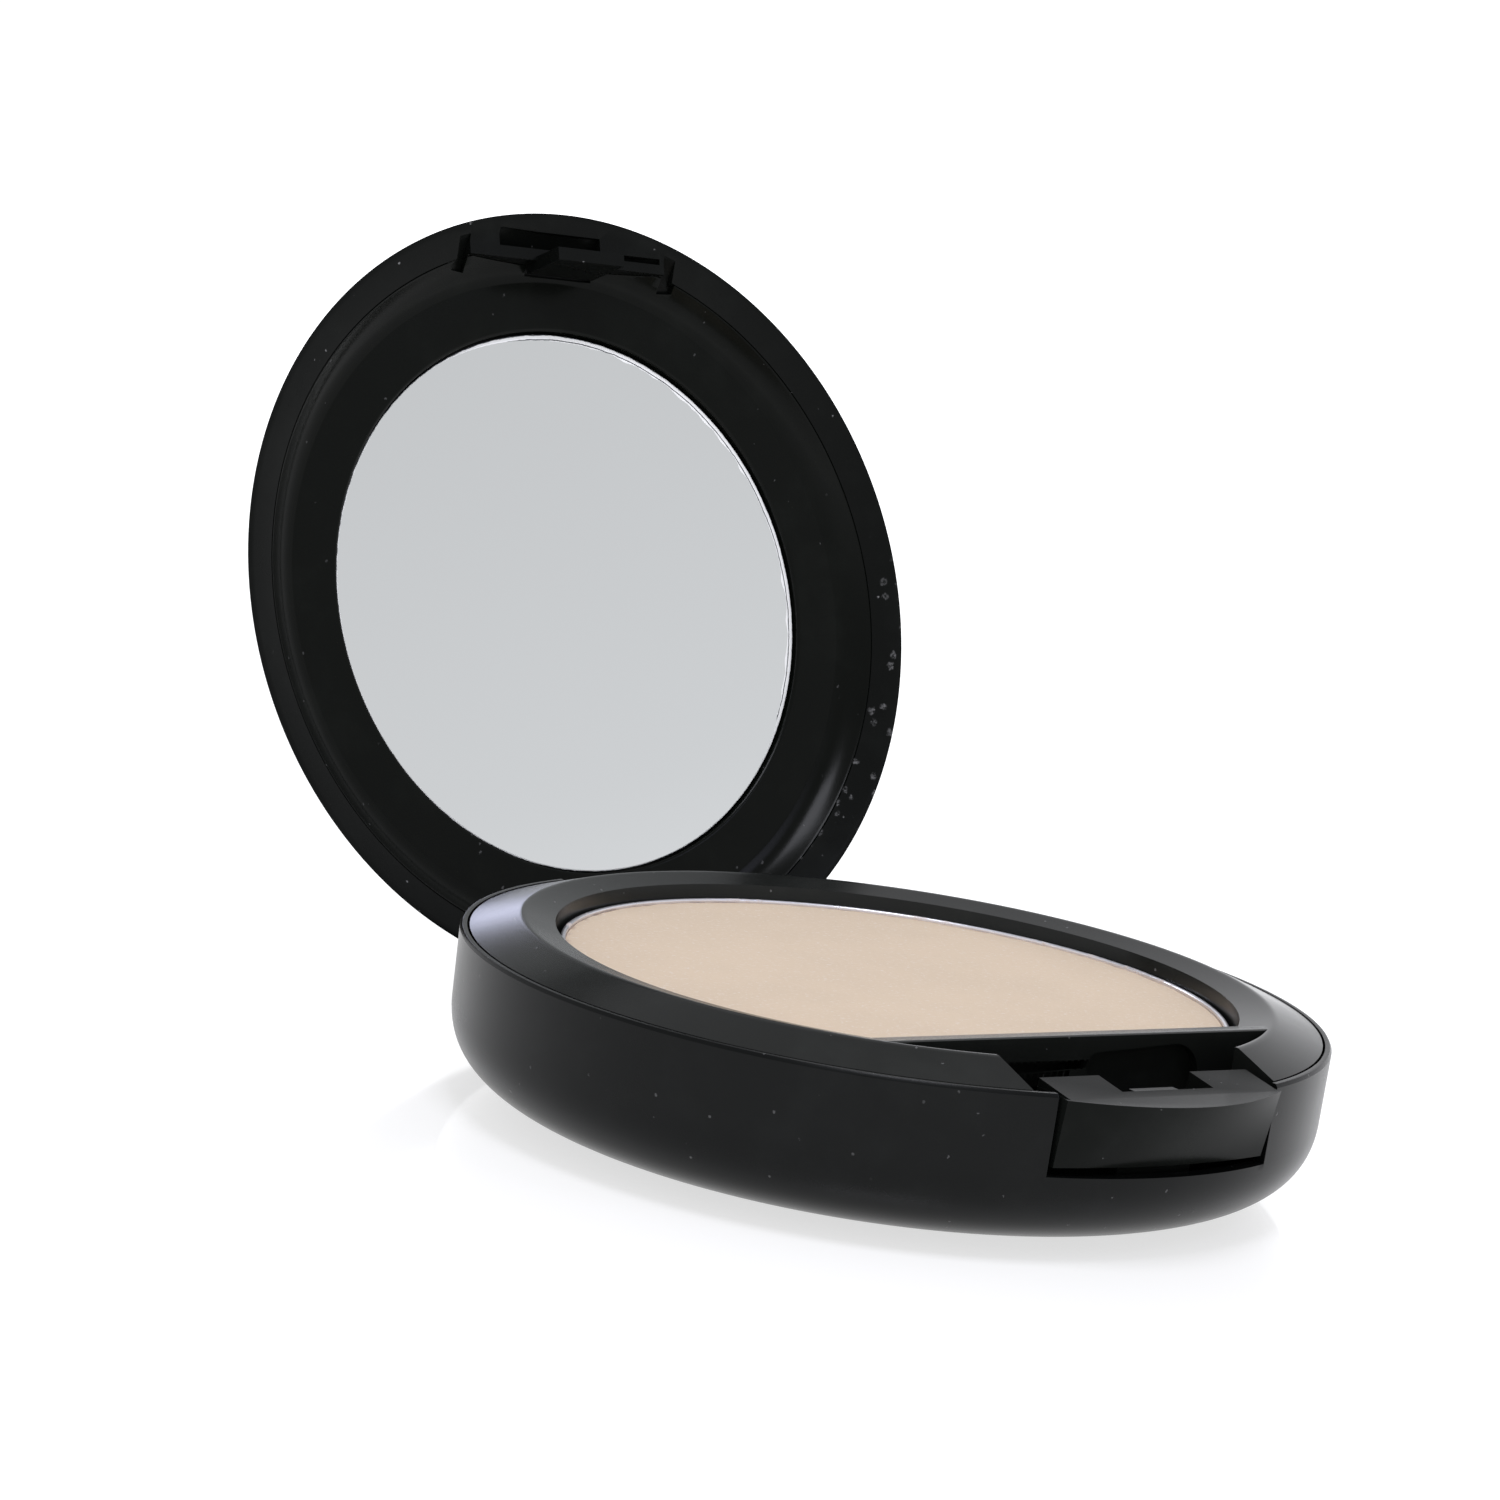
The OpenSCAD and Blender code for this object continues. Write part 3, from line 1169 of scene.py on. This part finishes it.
@dataclass
class TrayInsert:
    """The tray: flange, ring ridge, straight land, open recess with its finger scoop."""

    size: CaseSizes = CaseSizes()
    soften: float = 0.08
    ridge_rise: float = 1.54

    def land(self, low: float) -> Carving:
        """The straight land's bar, down to a height."""
        y, z = -self.size.chord, self.size.rim
        back, foot = y + 3.3, z - 0.8
        outline = [(y, low), (y, z + 1.42), (y + 0.3, z + 1.5), (y + 3.1, z + 0.98), (back, max(low, foot))]
        if low < foot:
            outline.append((back, low))
        return Carving.prism(outline, 34)

    def scoop(self) -> Carving:
        """The finger scoop, wider at the right."""
        points = []
        for x, drop, r in ((10.4, 2.5, 3.0), (1.8, 1.2, 1.2)):
            for a, b in on_circle(r, 40):
                for y in (0.9 - self.size.chord, -2.1 - self.size.chord):
                    points.append(Vector((x + a, y, self.size.rim - drop + b)))
        return Carving.wrapped(points)

    def build(self, finish: bpy.types.Material) -> None:
        """Makes the tray and joins it to the base."""
        c = self.size
        z, pan, ridge, out, rise = c.rim, c.pan, c.ridge, c.radius - 0.85, self.ridge_rise
        floor = z - 4.7
        ring = Carving.turned(
            [(pan + 0.3, floor), (pan + 1.3, floor), (pan + 1.3, z - 1.9), (ridge - 0.2, z - 0.5),
             (out - 0.1, z - 0.5), (out, z - 0.35), (out, z), (ridge + 0.5, z + rise - 0.12),
             (ridge + 0.15, z + rise), (ridge - 0.15, z + rise), (ridge - 0.45, z + rise - 0.08),
             (pan + 0.65, z + rise - 0.56), (pan + 0.35, z - 0.8), (pan + 0.3, z - 2)],
            closed=True,
        )
        plate = Carving.drum(pan + 0.9, pan + 0.9, floor, floor + 0.9)
        plate -= Carving.block((-13.8, -50, 0), (27.6, 18.2, 30))
        lower = self.land(floor) & Carving.drum(pan + 1.2, ridge + 2, floor, floor + 4.3)
        upper = self.land(z - 0.6) & Carving.drum(ridge - 0.2, ridge - 0.2, z - 1, z + 4)
        tray = ring + plate + lower + upper
        recess = Carving.block((-40, -50 - c.chord, z - 3.8), (80, 50, 10))
        recess &= Carving.drum(ridge - 0.25, ridge - 0.25, z - 3.8, z + 6)
        gap = Carving.block((-13.5, -50, 0), (26, 18.2, 30))
        step = Carving.block((-13.5, -50, z - 1.5), (26, 19.4, 9))
        under = Carving.block((-13.8, -36, 0), (27.6, 4.2, z - 1))
        for cutter in (recess, gap, step, under, self.scoop()):
            tray -= cutter
        piece = tray.finish("tray_insert", self.soften)
        settle(piece, Body.BASE, "powder_tray", finish)


@dataclass
class LidCase:
    """The domed lid with its rim, hinge arm, catch block and hook."""

    size: CaseSizes = CaseSizes()
    soften: float = 0.08
    arm_half: float = 8.7

    def catch(self) -> Carving:
        """The hook with the notch in its front."""
        y, z = self.size.front, self.size.lid_rim
        hook = Carving.block((-3.9, y - 0.7, z - 3.5), (7.8, 1.3, 5.9))
        return hook - Carving.block((-2.6, y - 1, z - 2), (5.2, 1.05, 1.9))

    def build(self, finish: bpy.types.Material, hinge: HingeFrame) -> None:
        """Makes the lid's shell and joins it to the lid."""
        c = self.size
        r, z, y = c.radius, c.lid_rim, c.front
        profile = dome(c, 0) + [(r - 0.7, z), (r - 3.15, z + 1.1), (r - 3.15, z + 2.15)]
        inner = [p for p in dome(c, 1.04)[::-1] if p[0] < r - 3.2]
        shell = Carving.turned([(0, z + c.lid_rise)] + profile[1:] + inner)
        pin, height = c.pin_y, c.pin_z
        upper = [(r - 1.8, z + 0.7), (r - 1.8, z + 1.9), (r - 0.3, z + 1.7), (r + 0.4, z + 0.8)]
        lower = [(r + 0.4, height + 2), (r - 0.4, height - 1.2), (pin, height - 2.2), (pin, height + 2.2)]
        inside = [(r - 0.7, height + 2.6), (r - 0.7, z + 0.3)]
        arm = Carving.prism(upper + lower + inside, self.arm_half)
        knuckle = Carving.rod(pin, height, 2.2, self.arm_half) + arm
        knuckle -= Carving.rod(pin, height, 0.8, 20)
        half = c.button_half
        block = Carving.block((-half, y - 4.1, z + 0.5), (2 * half, 3.8, 5)) & self.inside(0.3)
        sockets = Carving.block((-8.2, y - 3.3, z), (12.1, 1.8, 2.2))
        sockets += Carving.block((6.8, y - 1.9, z), (4.4, 0.6, 2.2))
        for side in (-1, 1):
            sockets += Carving.block((side * 12.35 - 0.65, y - 3.1, z), (1.3, 3.6, 2.6))
        shell = shell + knuckle + block + self.catch() - (sockets & self.inside(1.0))
        piece = shell.finish("lid_case", self.soften)
        settle(hinge.open(piece), Body.LID, "lid_shell", finish)

    def inside(self, inset: float) -> Carving:
        """A solid under the dome, drawn in by a distance."""
        profile = dome(self.size, inset)
        return Carving.turned([(0, profile[0][1])] + profile[1:] + [(profile[-1][0], 14), (0, 14)], steps=120)


@dataclass
class LidLiner:
    """The coved ring and back plate that hold the mirror."""

    size: CaseSizes = CaseSizes()
    soften: float = 0.06

    def build(self, finish: bpy.types.Material, hinge: HingeFrame) -> None:
        """Makes the liner and joins it to the lid."""
        c = self.size
        r, z, m, d = c.radius, c.lid_rim, c.mirror, c.mirror_back
        shares = [i / 20 for i in range(21)]
        cove = [(t, 1.15 + 1.85 * (t + 0.2 * math.sin(math.pi * t))) for t in shares]
        profile = [(0, z + d + 1.4), (r - 11.4, z + d + 1.4), (r - 9, z + 4.5), (r - 6.5, z + 3.7),
                   (r - 5.5, z + 3.25), (r - 4.5, z + 2.72), (r - 3.25, z + 2), (r - 3.25, z + 1.15)]
        profile += [(r - 3.3 - 3.2 * t, z + depth) for t, depth in cove]
        profile += [(m + 0.6, z + 3), (m + 0.25, z + 3.2), (m + 0.25, z + d + 1), (0, z + d + 1)]
        liner = Carving.turned(profile)
        liner -= Carving.block((-11.8, c.front - 8, z - 1), (23.6, 7.75, 9))
        liner -= Carving.block((-4, c.front - 8, z - 1), (8, 8.7, 9))
        for side in (-1, 1):
            liner -= Carving.block((side * 12.5 - 0.8, c.front - 8, z - 1), (1.6, 9.3, 9))
        piece = liner.finish("lid_liner", self.soften)
        settle(hinge.open(piece), Body.LID, "lid_frame", finish)


@dataclass
class PushButton:
    """The latch button with its bowed front, sloping top and notched tongue."""

    size: CaseSizes = CaseSizes()
    tall: float = 6.15
    soften: float = 0.14

    def plan(self, half: float, y: float, bow: float, z: float, steps: int = 36) -> Ring:
        """One level outline with a bowed front.

        Args:
            half: half its width.
            y: the front's two ends.
            bow: how far the front's middle stands out.
            z: its height.
            steps: steps along the front.

        Returns:
            The outline's points.
        """
        bowed = [1 - 2 * i / steps for i in range(steps + 1)]
        ends = [Vector((-half + 0.3, self.size.front, z)), Vector((half - 0.3, self.size.front, z))]
        return ends + [Vector((half * q, y - bow * (1 - q * q), z)) for q in bowed]

    def build(self, finish: bpy.types.Material) -> None:
        """Makes the button and joins it to the latch."""
        c, y, z = self.size, self.size.front, self.size.rim
        rings = []
        for i in range(9):
            t = i / 8
            y_front = 2 - c.radius - 0.9 * t
            height = z - self.tall + (self.tall - 0.3) * t
            rings.append(self.plan(c.button_half - 0.3 * (1 - t), y_front, 1.1 + 2.3 * t, height))
        body = Carving.stacked(rings)
        top = [(y, z - 0.5), (y, z + 0.4), (y - 4.2, z - 0.3), (y - 4.2, z - 0.5)]
        body += Carving.prism(top, c.button_half - 0.35)
        body += Carving.block((-4, y - 2.8, 5.9), (8, 2.8, z - self.tall - 5.4))
        for side in (-1, 1):
            body += Carving.block((side * 12 - 1.2, y - 0.7, z - 5.9), (2.4, 1.3, 4))
        for side in (-1, 1):
            body -= Carving.block((side * 3.7 - 1.3, y - 3.1, z - 3.7), (2.6, 5, 9))
        body -= Carving.block((-3, y - 3.1, z - 0.55), (6, 5, 9))
        body -= Carving.block((-3, y - 1, z - 3.7), (6, 5, 9))
        body -= Carving.block((-3, y - 3.1, z - 3.7), (6, 5, 2.3))
        bore = Carving.wrapped(
            [Vector((a, y + depth, c.spring_z + b)) for depth in (1.0, -1.6) for a, b in on_circle(1.5, 48)]
        )
        piece = (body - bore).finish("push_button", self.soften)
        settle(piece, Body.LATCH, "latch_button", finish)


@dataclass
class MouldedParts:
    """The case's plastic mouldings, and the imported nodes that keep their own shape."""

    case: SatinPlastic = SatinPlastic(
        "case_satin_black", (0.0038, 0.0043, 0.0042), gloss=0.25, shine=0.13, dust=0.2
    )
    inner: SatinPlastic = SatinPlastic(
        "inner_satin_black", (0.0031, 0.0038, 0.003), gloss=0.2, shine=0.085, dust=0.16
    )
    lid: SatinPlastic = SatinPlastic(
        "lid_satin_black", (0.0041, 0.0047, 0.0042), gloss=0.28, shine=0.07, dust=0.5, dusty_corner=True
    )
    # painted light: a lighter tone than the case's black plastic, standing in for light on the tray's recess
    # walls
    tray: SatinPlastic = SatinPlastic(
        "tray_satin_black", (0.0092, 0.0102, 0.0092), gloss=0.21, shine=0.17, dust=0.3, grain=0.25
    )
    # painted light: a lighter tone than the case's black plastic, standing in for the light on the button's
    # front
    button: SatinPlastic = SatinPlastic("button_satin_black", (0.0062, 0.007, 0.0063), gloss=0.23, shine=0.05)

    def build(self, hinge: HingeFrame) -> None:
        """Builds the mouldings and dresses the other nodes."""
        inner = self.inner.make()
        BaseCase().build(self.case.make())
        TrayInsert().build(self.tray.make())
        LidCase().build(self.lid.make(), hinge)
        LidLiner().build(inner, hinge)
        PushButton().build(self.button.make())
        tape = GlueTape().make()
        looks = {
            "base_liner": inner,
            "hinge_pin": SteelWire("pin_steel").make(),
            "bottom_label": LabelPaper().make(),
            "pan_adhesive": tape,
            "mirror_adhesive": tape,
        }
        for node, material in looks.items():
            dress(frame["nodes"][node], material)
            log.info("node %s wears %s", node, material.name)


@dataclass(frozen=True)
class SoftBox:
    """A square area light: its place and side in metres, its power in watts and its linear colour."""

    name: str
    place: tuple[float, float, float]
    side: float
    power: float
    tint: tuple[float, float, float]
    aim: tuple[float, float, float] = (0.0, 0.01, 0.02)

    def build(self) -> None:
        """Adds the light, facing the compact and hidden from the camera."""
        data = bpy.data.lights.new(self.name, "AREA")
        data.shape, data.size, data.size_y = "RECTANGLE", self.side, self.side
        data.energy, data.color = self.power, self.tint
        light = bpy.data.objects.new(self.name, data)
        light.location = self.place
        light.visible_camera = False
        towards = Vector(self.aim) - Vector(self.place)
        light.rotation_euler = towards.to_track_quat("-Z", "Y").to_euler()
        bpy.context.scene.collection.objects.link(light)


@dataclass
class Studio:
    """Floor, soft lights, world and camera. Angles are in degrees."""

    eye: tuple[float, float, float] = (-0.210767, -0.256695, 0.084494)
    azimuth: float = -36.694
    elevation: float = 8.846
    roll: float = 7.964
    lens: float = 91.15
    table: float = 6.0
    table_drop: float = 0.02 * MM
    sky: Profile = ((0.0, 1.25), (0.2, 1.05), (0.4, 0.72), (0.72, 0.52), (1.0, 0.52))
    backdrop: float = 1.1
    lamps: tuple[SoftBox, ...] = (
        SoftBox("key_box", (0.318, -0.437, 0.605), 0.16, 0.27, (0.74, 0.75, 1.0)),
        SoftBox("top_box", (-0.124, -0.214, 0.761), 0.25, 2.3, (0.90, 0.91, 1.0)),
    )

    def camera(self) -> None:
        """Places the camera, held slightly turned about its own axis."""
        a, e, t = (math.radians(v) for v in (self.azimuth, self.elevation, self.roll))
        back = Vector((math.sin(a) * math.cos(e), -math.cos(a) * math.cos(e), math.sin(e)))
        right = Vector((0, 0, 1)).cross(back).normalized()
        up = back.cross(right)
        across = math.cos(t) * right + math.sin(t) * up
        above = -math.sin(t) * right + math.cos(t) * up
        data = bpy.data.cameras.new("camera")
        data.lens, data.sensor_width, data.clip_start = self.lens, 36.0, 0.01
        camera = bpy.data.objects.new("camera", data)
        turn = Matrix((across, above, back)).transposed().to_4x4()
        camera.matrix_world = Matrix.Translation(self.eye) @ turn
        bpy.context.scene.collection.objects.link(camera)
        bpy.context.scene.camera = camera

    def world(self) -> None:
        """White surround for the camera; as light, bright at the horizon and dimmer above."""
        world = bpy.data.worlds.new("surround")
        bpy.context.scene.world = world
        world.use_nodes = True
        tree = world.node_tree
        tree.nodes.clear()
        seen, lit = (tree.nodes.new("ShaderNodeBackground") for _ in range(2))
        seen.inputs["Color"].default_value = rgb(1, 1, 1)
        seen.inputs["Strength"].default_value = self.backdrop
        place, split = tree.nodes.new("ShaderNodeTexCoord"), tree.nodes.new("ShaderNodeSeparateXYZ")
        ramp = tree.nodes.new("ShaderNodeValToRGB")
        while len(ramp.color_ramp.elements) < len(self.sky):
            ramp.color_ramp.elements.new(0.5)
        for stop, (height, level) in zip(ramp.color_ramp.elements, self.sky):
            stop.position, stop.color = height, (level * 0.985, level * 0.99, level * 1.02, 1)
        path, mix = tree.nodes.new("ShaderNodeLightPath"), tree.nodes.new("ShaderNodeMixShader")
        out = tree.nodes.new("ShaderNodeOutputWorld")
        links = (
            (place.outputs["Generated"], split.inputs[0]),
            (split.outputs["Z"], ramp.inputs[0]),
            (ramp.outputs[0], lit.inputs["Color"]),
            (path.outputs["Is Camera Ray"], mix.inputs[0]),
            (lit.outputs[0], mix.inputs[1]),
            (seen.outputs[0], mix.inputs[2]),
            (mix.outputs[0], out.inputs[0]),
        )
        for start, end in links:
            tree.links.new(start, end)
        bpy.context.scene.view_settings.view_transform = "Standard"

    def floor(self) -> None:
        """Large pale table with its top at the foot of the compact."""
        half = self.table / 2
        mesh = bpy.data.meshes.new("table_top")
        signs = ((-1, -1), (1, -1), (1, 1), (-1, 1))
        mesh.from_pydata([(a * half, b * half, -self.table_drop) for a, b in signs], [], [(0, 1, 2, 3)])
        floor = new_object("table_top", mesh)
        dress(floor, Backdrop().make())

    def build(self) -> None:
        """Makes the whole studio."""
        self.camera()
        self.world()
        self.floor()
        for lamp in self.lamps:
            lamp.build()


def main() -> None:
    """Builds the compact and its studio, in order."""
    Studio().build()
    hinge = HingeFrame()
    MouldedParts().build(hinge)
    PowderInsert().build()
    MirrorGlass().build(hinge)
    LatchSpring().build()
    FoamPuff().build()


if __name__ == "__main__":
    main()
